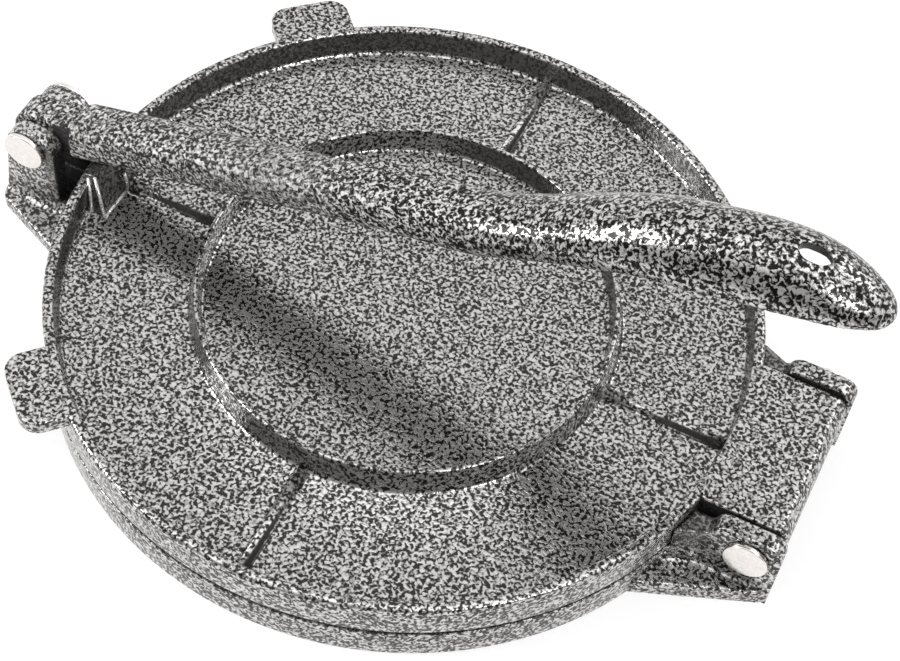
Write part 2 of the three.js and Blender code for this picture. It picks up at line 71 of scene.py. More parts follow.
# Lifting tabs
TAB_TURN = radians(46.9)
TAB_LENGTH = 11.6
TAB_WIDTH = 24.2
TAB_THICKNESS = 4.5
TAB_CORNER = 5.5
TAB_BITE = 2.2
TAB_DROP = 0.03

# Pins
PIN_RADIUS = 3.6
HEAD_RADIUS = 6.3
CAP_RADIUS = 5.8
HEAD_HEIGHT = 1.6
HEAD_DOME = 0.18
HEAD_CENTRE_SHARE = 0.6
HEAD_CENTRE_DOME = 0.04
CAP_SOCKET = 3.2
PIN_SHORTFALL = 3.4

# Clevis
LEVER_PIN = Vector((-118.75, 0, 26.05))
CLEVIS_SLOT = 10.2
CLEVIS_EAR = 5.4
CLEVIS_FACE = 10.95
CLEVIS_BORE_REACH = 20
EAR_RADIUS = 6.6
EAR_FRONT = 9.2
EAR_FRONT_CORNER = 6.3
EAR_DRAFT = 0.6
EAR_TOE = ((3, 1.2), (0.6, 3.2))
FOOT_REACH = 127.5
FOOT_ROOT = 96.0
FOOT_TIP_WIDTH = 28.4
FOOT_ROOT_WIDTH = 55.0
FOOT_THICKNESS = 4.4
FOOT_CORNER = 4.6
FOOT_FILLET = 3
FOOT_FILLET_GAP = 0.5

# Hinge
HINGE_PIN = Vector((115.9, 0, 17.65))
HINGE_SLOT = 50.8
HINGE_EAR = 5.5
HINGE_FACE = 31.35
HINGE_BORE_REACH = 45
HINGE_EAR_START = 104.6
HINGE_EAR_END = 125.0
HINGE_EAR_TOP = 25.4
HINGE_EAR_CORNER = 4.6
HINGE_EAR_HOLLOW = 1.6
HINGE_ROOT = 88.0
HINGE_ROOT_TOP = 20.3
HINGE_WEDGE = 6.8
HINGE_FOOT_THICKNESS = 6.0
HINGE_FOOT_CORNER = 4.2
HINGE_TIP_WIDTH = 63.0
HINGE_ROOT_WIDTH = 93.8
HINGE_OPENING = (25.6, HINGE_SLOT, 18)
HINGE_OPENING_HEIGHT = 3
BARREL_RADIUS = 8.4
TONGUE_NEAR_GAP = 1.8
TONGUE_FAR_GAP = 0.5
TONGUE_BITE = 11.5
TONGUE_RECESS = 0.9

# Lever
HUB_RADIUS = 7.9
HUB_WIDTH = 9.4
BAR_START = 12.75
BAR_BELLY = -2.1
BAR_SLOPE = 0.282
NECK_BELLY = -0.7
NECK_CROWN = 11.1
LEVER_REACH = 245.15
GRIP_WALL = 3.4
GRIP_EDGE_WALL = 2.0
HOLLOW_OVERRUN = 3
HOLLOW_START_SHARE = 0.655
HOLLOW_END_SHARE = 0.955
HOLLOW_END_DEPTH_SHARE = 0.4
HANG_HOLE = Vector((103.26, 0, 103))
HANG_HOLE_HALF_LENGTH = 4.4
HANG_HOLE_HALF_WIDTH = 2.9

# Boss under the lever, its foot and top measured inward from the plate's edge
BOSS_FOOT = ((2.7, 13), (6.2, 14.75), (10.8, 14.75))
BOSS_TOP_OUTER = 1.9
BOSS_TOP_INNER = 5.5
BOSS_TOP_HALF = 10
GUSSET_SIZE = (7.0, 2.8)
GUSSET_PLACE = 6.2
GUSSET_TOP = 21.2
# Beads of painted highlight along the boss's edges
EDGE_RADIUS = 0.5
EDGE_DROP = 0.6
GUSSET_EDGE = -1.4

# Distance from the pin, half width, crown and belly above the pin, squareness, and the share of
# the height at which the section is widest
LEVER_STATIONS = [
    (BAR_START, 7.6, 11.8, BAR_BELLY, 3.2, 0.5),
    (41.9, 7.6, 20.0, 6.1, 3.2, 0.5),
    (76.0, 7.6, 29.6, 15.7, 3.2, 0.5),
    (110.0, 7.6, 39.2, 25.3, 3.2, 0.5),
    (123.75, 8.2, 43.1, 28.8, 3, 0.5),
    (138.75, 9.0, 48.1, 32.6, 2.5, 0.44),
    (153.75, 10.2, 56.0, 41.3, 2.2, 0.34),
    (168.75, 11.5, 66.0, 50.8, 2, 0.21),
    (183.75, 12.5, 73.3, 58.9, 2, 0.1),
    (198.75, 13.0, 77.7, 63.5, 2, 0.06),
    (208.75, 13.1, 79.8, 66.1, 2, 0.06),
    (215.75, 12.9, 80.8, 67.6, 2, 0.06),
    (221.75, 12.5, 80.8, 68.6, 2, 0.06),
    (226.75, 11.8, 80.1, 69.1, 2, 0.06),
    (231.75, 10.7, 78.7, 69.3, 2, 0.06),
    (236.75, 9.0, 76.6, 69.1, 2, 0.08),
    (240.75, 6.9, 74.4, 68.7, 2, 0.15),
    (243.75, 4.2, 72.0, 68.4, 2, 0.3),
    (LEVER_REACH, 0.7, 69.9, 69.3, 2, 0.4),
]

# Sides of round shapes
PLATE_STEPS = 288
PIN_STEPS = 96
ROOM_SIDES = 192
HOLE_SIDES = 48

# Camera, its aim and distance in plate radii
CAMERA_AZIMUTH = radians(20)
CAMERA_ELEVATION = radians(54.606)
CAMERA_ROLL = radians(7.309)
CAMERA_AIM = Vector((0.129, -0.041, 0))
CAMERA_DISTANCE = 5.613
CAMERA_RISE = 11.95
CAMERA_LENS = 80


# Camera

def place_camera():
    """A long lens looking down over the near edge, turned slightly about its own axis."""
    back = Vector((0, -cos(CAMERA_ELEVATION), sin(CAMERA_ELEVATION)))
    level = Vector((1, 0, 0))
    rising = Vector((0, sin(CAMERA_ELEVATION), cos(CAMERA_ELEVATION)))
    across = cos(CAMERA_ROLL) * level + sin(CAMERA_ROLL) * rising
    upward = cos(CAMERA_ROLL) * rising - sin(CAMERA_ROLL) * level
    around = Matrix.Rotation(CAMERA_AZIMUTH, 3, "Z")
    seat = around @ (CAMERA_AIM + back * CAMERA_DISTANCE) * PLATE_RADIUS * MILLIMETRE
    seat.z += CAMERA_RISE * MILLIMETRE
    axes = [around @ axis for axis in (across, upward, back)]
    turn = Matrix(axes).transposed().to_4x4()
    camera = bpy.data.objects.new("camera", bpy.data.cameras.new("camera"))
    camera.data.lens = CAMERA_LENS
    camera.data.sensor_width = 36
    camera.data.clip_start = 0.01
    camera.matrix_world = Matrix.Translation(seat) @ turn
    bpy.context.collection.objects.link(camera)
    bpy.context.scene.camera = camera


# Shaping helpers

def arc(centre_u, centre_v, radius, start, end, steps):
    """Points on an arc, angles in quarter turns."""
    angles = [(start + (end - start) * step / steps) * pi / 2 for step in range(steps + 1)]
    return [(centre_u + radius * cos(angle), centre_v + radius * sin(angle)) for angle in angles]


def prism(bm, corners, way):
    """A flat outline of corners pushed along a vector into a closed solid."""
    face = bm.faces.new([bm.verts.new(corner) for corner in corners])
    pushed = bmesh.ops.extrude_face_region(bm, geom=[face])["geom"]
    verts = [item for item in pushed if isinstance(item, bmesh.types.BMVert)]
    bmesh.ops.translate(bm, verts=verts, vec=way)
    return face.verts[:] + verts


def upright(bm, outline, bottom, top):
    """A plan outline raised from one height to another."""
    return prism(bm, [(x, y, bottom) for x, y in outline], (0, 0, top - bottom))


def crosswise(bm, outline, near_y, far_y):
    """A side outline in X and Z, pushed along Y."""
    return prism(bm, [(x, near_y, z) for x, z in outline], (0, far_y - near_y, 0))


def cylinder(bm, place, radius, depth, sides):
    bmesh.ops.create_cone(bm, cap_ends=True, segments=sides, radius1=radius, radius2=radius,
                          depth=depth, matrix=place)


def round_bar(bm, centre, radius, near_y, far_y):
    """A bar lying along Y."""
    middle = Matrix.Translation((centre.x, (near_y + far_y) / 2, centre.z))
    cylinder(bm, middle @ Matrix.Rotation(pi / 2, 4, "X"), radius, far_y - near_y, sides=64)


def bead(bm, start, end, radius):
    """A thin round bead from one point to another."""
    way = end - start
    turn = way.to_track_quat("Z", "Y").to_matrix().to_4x4()
    cylinder(bm, Matrix.Translation((start + end) / 2) @ turn, radius, way.length, sides=16)


def block(bm, centre, size):
    place = Matrix.Translation(centre) @ Matrix.Diagonal((*size, 1))
    bmesh.ops.create_cube(bm, size=1, matrix=place)


def turned(bm, profile, steps):
    """A profile of (radius, height, rounding) turned round the Z axis."""
    verts = [bm.verts.new((radius, 0, height)) for radius, height, _ in profile]
    for near, far in zip(verts, verts[1:]):
        bm.edges.new((near, far))
    for vert, (_, _, rounding) in zip(verts, profile):
        if rounding:
            bmesh.ops.bevel(bm, geom=[vert], offset=rounding, offset_type="OFFSET", segments=5,
                            profile=0.5, affect="VERTICES", material=-1)
    bmesh.ops.spin(bm, geom=bm.verts[:] + bm.edges[:], cent=(0, 0, 0), axis=(0, 0, 1),
                   angle=2 * pi, steps=steps, use_merge=True)
    bmesh.ops.remove_doubles(bm, verts=bm.verts, dist=0.001)


def mesh_of(bm, name):
    bmesh.ops.recalc_face_normals(bm, faces=bm.faces)
    mesh = bpy.data.meshes.new(name)
    bm.to_mesh(mesh)
    bm.free()
    return mesh


def finished(name, mesh, material, body, node):
    """A piece in metres, smooth, on its body, standing for its CAD node."""
    mesh.transform(Matrix.Scale(MILLIMETRE, 4))
    mesh.shade_smooth()
    piece = bpy.data.objects.new(name, mesh)
    piece.data.materials.clear()
    piece.data.materials.append(material)
    bpy.context.collection.objects.link(piece)
    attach(piece, body)
    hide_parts(node)


def cast(name, solid, cutter=None, *, grain, smoothing):
    """Overlapping solids fused as a casting is: cut, run together and softened at every edge."""
    holder = bpy.data.objects.new(name, mesh_of(solid, name))
    bpy.context.collection.objects.link(holder)
    if cutter:
        tool = bpy.data.objects.new(name + "_cutter", mesh_of(cutter, name + "_cutter"))
        bpy.context.collection.objects.link(tool)
        cut = holder.modifiers.new("cut", "BOOLEAN")
        cut.operation = "DIFFERENCE"
        cut.solver = "EXACT"
        cut.use_self = True
        cut.object = tool
    fuse = holder.modifiers.new("fuse", "REMESH")
    fuse.mode = "VOXEL"
    fuse.voxel_size = grain
    soften = holder.modifiers.new("soften", "SMOOTH")
    soften.factor = 0.5
    soften.iterations = smoothing
    graph = bpy.context.evaluated_depsgraph_get()
    mesh = bpy.data.meshes.new_from_object(holder.evaluated_get(graph))
    bpy.data.objects.remove(holder)
    if cutter:
        bpy.data.objects.remove(tool)
    return mesh


# Plates

def plate_profile():
    """Press face on z = 0, with rim and ring standing up from the web; radius, height, rounding."""
    rim_inner = PLATE_RADIUS - RIM_CREST
    rim_foot = rim_inner - RIM_DRAFT
    ring_outer = RING_RADIUS + RING_CREST
    crown = WEB + RING_HEIGHT
    groove = PLATE_RADIUS - SEAM_DEPTH
    return [
        (0, 0, 0),
        (groove, 0, 0.2),
        (groove, SEAM_HEIGHT, 0),
        (PLATE_RADIUS, SEAM_HEIGHT, 0.3),
        (PLATE_RADIUS, PLATE_DEPTH, 1.2),
        (rim_inner, PLATE_DEPTH, 0.7),
        (rim_foot, WEB, 1.1),
        (ring_outer + RING_OUTER_DRAFT, WEB, 1.0),
        (ring_outer, crown, 0.5),
        (RING_RADIUS, crown, 0.5),
        (RING_RADIUS - RING_INNER_DRAFT, WEB, 1.0),
        (0, WEB, 0),
    ]


def rib_outline():
    """Rounded crest over a flared foot, in Y and Z."""
    crest = RIB_CREST / 2
    top = WEB + RIB_HEIGHT
    half = [
        (crest + RIB_FLARE, WEB - TUCK),
        (crest + RIB_FLARE, WEB - 0.02),
        (crest + 0.75, WEB + 0.12),
        (crest + 0.45, WEB + 0.5),
        (crest + 0.15, top - 0.55),
        (crest - 0.25, top - 0.1),
        (crest - 0.6, top),
    ]
    return [*half, *[(-y, z) for y, z in reversed(half)]]


def ribs(bm):
    start = RING_RADIUS + RING_CREST / 2
    end = PLATE_RADIUS - RIM_CREST / 2
    for quarter in range(4):
        verts = prism(bm, [(start, y, z) for y, z in rib_outline()], (end - start, 0, 0))
        turn = Matrix.Rotation(quarter * pi / 2, 3, "Z")
        bmesh.ops.rotate(bm, verts=verts, cent=(0, 0, 0), matrix=turn)


def plate_pieces(prefix, node, place):
    """A plate and its four ribs, on the body that has their prefix as its name."""
    disc = bmesh.new()
    turned(disc, plate_profile(), PLATE_STEPS)
    crossing = bmesh.new()
    ribs(crossing)
    for suffix, bm, finish in (("disc", disc, plate_enamel), ("ribs", crossing, rib_enamel)):
        bmesh.ops.transform(bm, matrix=place, verts=bm.verts)
        name = f"{prefix}_{suffix}"
        finished(name, mesh_of(bm, name), finish, prefix, node)


def plates():
    """The base's plate is turned over."""
    turned_over = Matrix.Translation((0, 0, PLATE_DEPTH)) @ Matrix.Rotation(pi, 4, "X")
    plate_pieces("base", "base_plate", turned_over)
    plate_pieces("top", "top_plate", Matrix.Translation((0, 0, PRESS_FACE)))


# Base: clevis and hinge bracket

def foot_outline(root, tip, root_width, tip_width, corner):
    """A tapered foot in plan, with its two outer corners rounded."""
    slope = atan2(root_width / 2 - tip_width / 2, tip - root)
    setback = corner * tan((pi / 2 - slope) / 2)
    lean = slope / (pi / 2)
    x = tip - corner
    y = tip_width / 2 - setback
    return [
        (root, -root_width / 2),
        *arc(x, -y, corner, lean - 1, 0, 6),
        *arc(x, y, corner, 0, 1 - lean, 6),
        (root, root_width / 2),
    ]


def fillet_strip(bm, side, face, floor_height, radius, start, end):
    """Hollow corner along the foot of an ear, from one reach to another."""
    outline = [
        (face - TUCK, floor_height - TUCK),
        (face + radius, floor_height - TUCK),
        *arc(face + radius, floor_height + radius, radius, -1, -2, 8),
        (face - TUCK, floor_height + radius),
    ]
    prism(bm, [(start, side * y, z) for y, z in outline], (end - start, 0, 0))


def drafted_ear(bm, outline, side, inner, thickness, top):
    """An ear on one side of a slot, its outer face wider towards the foot."""
    near, far = sorted((side * inner, side * (inner + thickness)))
    for vert in crosswise(bm, outline, near, far):
        if abs(vert.co.y) > inner + thickness / 2:
            vert.co.y += (1 if vert.co.y > 0 else -1) * EAR_DRAFT * (top - vert.co.z) / top


def bore(bm, pin, reach):
    """A cutter for a pin's hole."""
    round_bar(bm, pin, PIN_RADIUS + CLEARANCE, -reach, reach)


def plate_room(bm):
    """A cutter that keeps room for the plates: the base's hollow and the top plate."""
    hollow = PLATE_RADIUS - RIM_CREST
    cylinder(bm, Matrix.Translation((0, 0, 0)), hollow, THROUGH, ROOM_SIDES)
    height = 40
    middle = PLATE_DEPTH - ROOM_OVERLAP + height / 2
    room = PLATE_RADIUS + CLEARANCE
    cylinder(bm, Matrix.Translation((0, 0, middle)), room, height, ROOM_SIDES)


def clevis():
    bm = bmesh.new()
    cutter = bmesh.new()
    outline = foot_outline(FOOT_ROOT, FOOT_REACH, FOOT_ROOT_WIDTH, FOOT_TIP_WIDTH, FOOT_CORNER)
    upright(bm, [(-x, -y) for x, y in outline], 0, FOOT_THICKNESS)
    front = LEVER_PIN.x + EAR_FRONT
    top = LEVER_PIN.z + EAR_RADIUS
    root = TUCK - PLATE_RADIUS
    ear = [
        (-FOOT_REACH, 0),
        (root, 0),
        (root, FOOT_THICKNESS),
        *[(front + reach, FOOT_THICKNESS + rise) for reach, rise in EAR_TOE],
        *arc(front - EAR_FRONT_CORNER, top - EAR_FRONT_CORNER, EAR_FRONT_CORNER, 0, 1, 10),
        *arc(LEVER_PIN.x, LEVER_PIN.z, EAR_RADIUS, 1, 2, 12),
    ]
    inner = CLEVIS_SLOT / 2
    for side in (-1, 1):
        drafted_ear(bm, ear, side, inner, CLEVIS_EAR, top)
        fillet_strip(bm, side, inner + CLEVIS_EAR + FOOT_FILLET_GAP, FOOT_THICKNESS, FOOT_FILLET,
                     FOOT_CORNER - FOOT_REACH, root)
    bore(cutter, LEVER_PIN, CLEVIS_BORE_REACH)
    plate_room(cutter)
    mesh = cast("clevis", bm, cutter, grain=0.42, smoothing=5)
    finished("clevis", mesh, clevis_enamel, "base", "base_plate")


def hinge_bracket():
    bm = bmesh.new()
    cutter = bmesh.new()
    outline = foot_outline(HINGE_ROOT, HINGE_EAR_END, HINGE_ROOT_WIDTH, HINGE_TIP_WIDTH,
                           HINGE_FOOT_CORNER)
    upright(bm, outline, 0, HINGE_FOOT_THICKNESS)
    corner = HINGE_EAR_CORNER
    hollow = HINGE_EAR_HOLLOW
    ear = [
        (HINGE_ROOT, 0),
        (HINGE_EAR_END, 0),
        *arc(HINGE_EAR_END - corner, HINGE_EAR_TOP - corner, corner, 0, 1, 8),
        *arc(HINGE_EAR_START + corner, HINGE_EAR_TOP - corner, corner, 1, 2, 8)[:-1],
        *arc(HINGE_EAR_START - hollow, HINGE_ROOT_TOP + hollow, hollow, 0, -1, 5)[1:],
        (HINGE_ROOT, HINGE_ROOT_TOP),
    ]
    inner = HINGE_SLOT / 2
    face = inner + HINGE_EAR
    wedge = [
        (HINGE_ROOT, face - TUCK),
        (HINGE_EAR_START, face - TUCK),
        (HINGE_EAR_START, face),
        (HINGE_ROOT, face + HINGE_WEDGE),
    ]
    for side in (-1, 1):
        drafted_ear(bm, ear, side, inner, HINGE_EAR, HINGE_EAR_TOP)
        upright(bm, [(x, side * y) for x, y in wedge], 0, HINGE_ROOT_TOP)
    block(cutter, (HINGE_EAR_END, 0, HINGE_OPENING_HEIGHT), HINGE_OPENING)
    bore(cutter, HINGE_PIN, HINGE_BORE_REACH)
    plate_room(cutter)
    mesh = cast("hinge_bracket", bm, cutter, grain=0.5, smoothing=5)
    finished("hinge_bracket", mesh, bracket_enamel, "base", "base_plate")


# Top plate: tabs, tongue and the boss under the lever

def lifting_tab(name, side):
    bm = bmesh.new()
    half = TAB_WIDTH / 2
    corner = PLATE_RADIUS + TAB_LENGTH - TAB_CORNER
    root = PLATE_RADIUS - TAB_BITE
    outline = [
        (root, -half),
        *arc(corner, TAB_CORNER - half, TAB_CORNER, -1, 0, 8),
        *arc(corner, half - TAB_CORNER, TAB_CORNER, 0, 1, 8),
        (root, half),
    ]
    top = RIM_TOP - TAB_DROP
    verts = upright(bm, outline, top - TAB_THICKNESS, top)
    turn = Matrix.Rotation(pi - side * TAB_TURN, 3, "Z")
    bmesh.ops.rotate(bm, verts=verts, cent=(0, 0, 0), matrix=turn)
    mesh = cast("tab", bm, grain=0.36, smoothing=4)
    finished(name, mesh, enamel, "top", "top_plate")


def hinge_tongue():
    bm = bmesh.new()
    cutter = bmesh.new()
    near = TONGUE_NEAR_GAP - HINGE_SLOT / 2
    far = HINGE_SLOT / 2 - TONGUE_FAR_GAP
    root = PLATE_RADIUS - TONGUE_BITE
    slab = [
        (root, PRESS_FACE),
        (HINGE_PIN.x, PRESS_FACE),
        (HINGE_PIN.x, RIM_TOP),
        (root, RIM_TOP),
    ]
    crosswise(bm, slab, near, far)
    round_bar(bm, HINGE_PIN, BARREL_RADIUS, near, far)
    recess_radius = PLATE_RADIUS - RIM_CREST + TONGUE_RECESS
    cylinder(cutter, Matrix.Translation((0, 0, 0)), recess_radius, THROUGH, ROOM_SIDES)
    block(cutter, (HINGE_PIN.x, 0, RIM_TOP + 10), (60, 80, 20))
    bore(cutter, HINGE_PIN, HINGE_BORE_REACH)
    mesh = cast("tongue", bm, cutter, grain=0.48, smoothing=4)
    finished("hinge_tongue", mesh, tongue_enamel, "top", "top_plate")


def under_lever(x):
    """Height of the bar's underside at a place along X."""
    return LEVER_PIN.z + BAR_BELLY + (x - LEVER_PIN.x - BAR_START) * BAR_SLOPE


def lever_boss():
    """Tapered block over the rim, its top along the lever's underside, with a gusset inside it."""
    bm = bmesh.new()
    foot = PRESS_FACE + WEB - TUCK
    corners = [(inward - PLATE_RADIUS, side * half, foot)
               for side in (-1, 1) for inward, half in BOSS_FOOT]
    for inward in (BOSS_TOP_OUTER, BOSS_TOP_INNER):
        x = inward - PLATE_RADIUS
        height = under_lever(x) - CLEARANCE
        corners += [(x, -BOSS_TOP_HALF, height), (x, BOSS_TOP_HALF, height)]
    bmesh.ops.convex_hull(bm, input=[bm.verts.new(corner) for corner in corners])
    block(bm, (GUSSET_PLACE - PLATE_RADIUS, 0, (foot + GUSSET_TOP) / 2),
          (*GUSSET_SIZE, GUSSET_TOP - foot))
    mesh = cast("boss", bm, grain=0.22, smoothing=2)
    finished("lever_boss", mesh, boss_enamel, "top", "top_plate")


def boss_painted_highlights():
    """Painted highlights: light beads along the boss's near edges, coloured bright so that they
    show as thin lines of light.
    """
    def at(inward, y, z):
        return Vector((inward - PLATE_RADIUS, y, z))

    floor_height = PRESS_FACE + WEB
    outer_top = under_lever(BOSS_TOP_OUTER - PLATE_RADIUS) - EDGE_DROP
    inner_top = under_lever(BOSS_TOP_INNER - PLATE_RADIUS) - EDGE_DROP
    inner_foot = at(10.6, -14.4, floor_height)
    gusset_foot = at(10.7, GUSSET_EDGE, floor_height)
    bm = bmesh.new()
    for lower, upper in (
        (at(6.4, -14.3, floor_height), at(BOSS_TOP_OUTER + 1.6, -10.5, outer_top)),
        (inner_foot, at(BOSS_TOP_INNER, -10.1, inner_top)),
        (gusset_foot, at(9.7, GUSSET_EDGE, GUSSET_TOP)),
        (inner_foot, gusset_foot),
    ):
        bead(bm, lower, upper, EDGE_RADIUS)
    finished("boss_painted_highlights", mesh_of(bm, "boss_painted_highlights"), painted_highlight_enamel, "top",
             "top_plate")


# Lever

def smooth_stations(steps):
    """Stations eased through the listed ones by a Catmull-Rom curve."""
    rows = [LEVER_STATIONS[0], *LEVER_STATIONS, LEVER_STATIONS[-1]]
    eased = []
    for first, second, third, fourth in zip(rows, rows[1:], rows[2:], rows[3:]):
        for step in range(steps):
            t = step / steps
            eased.append([
                0.5 * (2 * b + (c - a) * t + (2 * a - 5 * b + 4 * c - d) * t * t
                       + (3 * b - a - 3 * c + d) * t ** 3)
                for a, b, c, d in zip(first, second, third, fourth)
            ])
    return [*eased, list(LEVER_STATIONS[-1])]


def power(value, squareness):
    return (1 if value > 0 else -1) * abs(value) ** (2 / squareness)


def loft(bm, rings):
    """Rings of points joined in turn and closed at both ends."""
    loops = []
    for ring in rings:
        verts = [bm.verts.new(point) for point in ring]
        pairs = zip(verts, verts[1:] + verts[:1])
        loops.append([bm.edges.new(pair) for pair in pairs])
    for loop, following in zip(loops, loops[1:]):
        bmesh.ops.bridge_loops(bm, edges=loop + following)
    bmesh.ops.holes_fill(bm, edges=loops[0] + loops[-1], sides=0)


def lever_ring(station, sides=48):
    """A section of the lever, between an ellipse and a rounded square."""
    along, half, crown, belly, squareness, widest = station
    middle = belly + (crown - belly) * widest
    ring = []
    for side in range(sides):
        angle = 2 * pi * side / sides
        height = power(sin(angle), squareness)
        rise = crown - middle if height > 0 else middle - belly
        y = half * power(cos(angle), squareness)
        ring.append((LEVER_PIN.x + along, y, LEVER_PIN.z + middle + rise * height))
    return ring


def hollow_ring(station, depth, sides=16):
    """Arched section under the grip, open below, its wall thinner towards the edges."""
    along, half, crown, belly, _, widest = station
    half -= GRIP_EDGE_WALL
    middle = belly + (crown - belly) * widest
    arch = (crown - GRIP_WALL - middle) * depth
    angles = [pi * side / sides for side in range(sides + 1)]
    roof = [(half * cos(angle), middle + arch * sin(angle)) for angle in angles]
    section = [(half, belly - HOLLOW_OVERRUN), *roof, (-half, belly - HOLLOW_OVERRUN)]
    return [(LEVER_PIN.x + along, y, LEVER_PIN.z + z) for y, z in section]


def lever():
    bm = bmesh.new()
    cutter = bmesh.new()
    half = HUB_WIDTH / 2
    loft(bm, [lever_ring(station) for station in smooth_stations(5)])
    round_bar(bm, LEVER_PIN, HUB_RADIUS, -half, half)
    neck_end = BAR_START + TUCK
    neck = [
        (0, -HUB_RADIUS),
        (BAR_START, BAR_BELLY),
        (neck_end, NECK_BELLY),
        (neck_end, NECK_CROWN),
        (0, HUB_RADIUS),
    ]
    crosswise(bm, [(LEVER_PIN.x + x, LEVER_PIN.z + z) for x, z in neck], -half, half)
    start = HOLLOW_START_SHARE * LEVER_REACH
    end = HOLLOW_END_SHARE * LEVER_REACH
    within = [row for row in smooth_stations(2) if start < row[0] < end]
    depths = [HOLLOW_END_DEPTH_SHARE, *[1] * (len(within) - 2), HOLLOW_END_DEPTH_SHARE]
    loft(cutter, [hollow_ring(row, depth) for row, depth in zip(within, depths)])
    oval = Matrix.Diagonal((HANG_HOLE_HALF_LENGTH, HANG_HOLE_HALF_WIDTH, 1, 1))
    cylinder(cutter, Matrix.Translation(HANG_HOLE) @ oval, 1, THROUGH / 2, HOLE_SIDES)
    bore(cutter, LEVER_PIN, CLEVIS_BORE_REACH)
    mesh = cast("lever", bm, cutter, grain=0.6, smoothing=4)
    finished("lever_casting", mesh, grip_enamel, "lever", "lever")


# Pins

def pin_piece(name, node, place, side, radius, length):
    """Slightly domed round head on a shank that runs inward from the ear's outer face."""
    bm = bmesh.new()
    profile = [
        (0, HEAD_HEIGHT, 0),
        (radius * HEAD_CENTRE_SHARE, HEAD_HEIGHT - HEAD_CENTRE_DOME, 0),
        (radius, HEAD_HEIGHT - HEAD_DOME, 0.35),
        (radius, 0, 0.15),
        (PIN_RADIUS, 0, 0),
        (PIN_RADIUS, -length, 0.3),
        (0, -length, 0),
    ]
    turned(bm, profile, PIN_STEPS)
    turn = Matrix.Rotation(-side * pi / 2, 4, "X")
    bmesh.ops.transform(bm, matrix=Matrix.Translation(place) @ turn, verts=bm.verts)
    finished(name, mesh_of(bm, name), steel, "base", node)


def pins():
    """Each pin has its head on the near side and its cap on the far side."""
    for label, pin, face in (("lever", LEVER_PIN, CLEVIS_FACE), ("hinge", HINGE_PIN, HINGE_FACE)):
        pin_piece(f"{label}_pin_body", f"{label}_pin", (pin.x, -face, pin.z), -1,
                  HEAD_RADIUS, 2 * face - PIN_SHORTFALL)
        pin_piece(f"{label}_pin_end", f"{label}_pin_cap", (pin.x, face, pin.z), 1,
                  CAP_RADIUS, CAP_SOCKET)


# Shading helpers

def fed(tree, node, inputs):
    """The node with some inputs, by name or number, fixed or linked to a socket."""
    for key, value in inputs.items():
        if isinstance(value, bpy.types.NodeSocket):
            tree.links.new(value, node.inputs[key])
        else:
            node.inputs[key].default_value = value
    return node


def ranged(tree, value, start, end, low=0, high=1, kind="SMOOTHSTEP"):
    """A step of a value between two ends, eased unless its kind says otherwise."""
    step = tree.nodes.new("ShaderNodeMapRange")
    step.interpolation_type = kind
    fed(tree, step, {"Value": value, "From Min": start, "From Max": end,
                     "To Min": low, "To Max": high})
    return step.outputs["Result"]


def calculated(tree, operation, first, second=0):
    node = fed(tree, tree.nodes.new("ShaderNodeMath"), {0: first, 1: second})
    node.operation = operation
    return node.outputs[0]


def vector_calculated(tree, operation, first, second=(0, 0, 0)):
    node = fed(tree, tree.nodes.new("ShaderNodeVectorMath"), {0: first, 1: second})
    node.operation = operation
    return node.outputs


def mixed(tree, factor, first, second, kind="RGBA"):
    mix = tree.nodes.new("ShaderNodeMix")
    mix.data_type = kind
    fed(tree, mix, {"Factor": factor, "A": first, "B": second})
    return mix.outputs["Result"]


def coordinates(tree):
    """The object's own place and normal."""
    found = tree.nodes.new("ShaderNodeTexCoord").outputs
    return found["Object"], found["Normal"]


def split(tree, vector):
    return fed(tree, tree.nodes.new("ShaderNodeSeparateXYZ"), {0: vector}).outputs


def new_group(name, inputs, outputs):
    """A node group, the values given to it and its output node."""
    tree = bpy.data.node_groups.new(name, "ShaderNodeTree")
    for label, value in inputs.items():
        if isinstance(value, (int, float)):
            kind = "NodeSocketFloat"
        else:
            kind = "NodeSocketColor" if len(value) == 4 else "NodeSocketVector"
        made = tree.interface.new_socket(name=label, in_out="INPUT", socket_type=kind)
        made.default_value = value
    for label in outputs:
        kind = "NodeSocketColor" if label == "Color" else "NodeSocketFloat"
        tree.interface.new_socket(name=label, in_out="OUTPUT", socket_type=kind)
    given = tree.nodes.new("NodeGroupInput").outputs
    return tree, given, tree.nodes.new("NodeGroupOutput")


def new_material(name):
    material = bpy.data.materials.new(name)
    material.use_nodes = True
    return material, material.node_tree, material.node_tree.nodes["Principled BSDF"]


# Finishes: steps of the noise and of the normal, colours, and places in metres

FLAKE_STEP = (0.39, 0.63)
HEART_STEP = (0.56, 0.76)
HEART_COLOUR = (0.7, 0.685, 0.67, 1)
# WALL_STEP, NEAR_STEP, PLATE_EDGE, RIM_ZONE, RING_NEAR_WAY and the SEAM places pick the walls and
# the groove that take painted shade; UPWARD_STEP and TOP_STEP keep high upward faces clear of
# painted recess shade.
WALL_STEP = (0.1, 0.45)
NEAR_STEP = (0.6, 0.85)
UPWARD_STEP = (0.05, 0.35)
VEIN_METAL = 0.2
PLATE_EDGE = 0.0995
RIM_ZONE = 0.08
SEAM_PLACE = 0.01195
SEAM_REACH = 0.0006
SEAM_FADE = 0.00085
RING_NEAR_WAY = (-0.5, -0.866, 0)
TOP_STEP = (0.008, 0.01)
BOLD_STEP = (-0.07, -0.01)
SHINE_STEP = (0.006, 0.03)
BUMP_HEIGHT = 0.0003


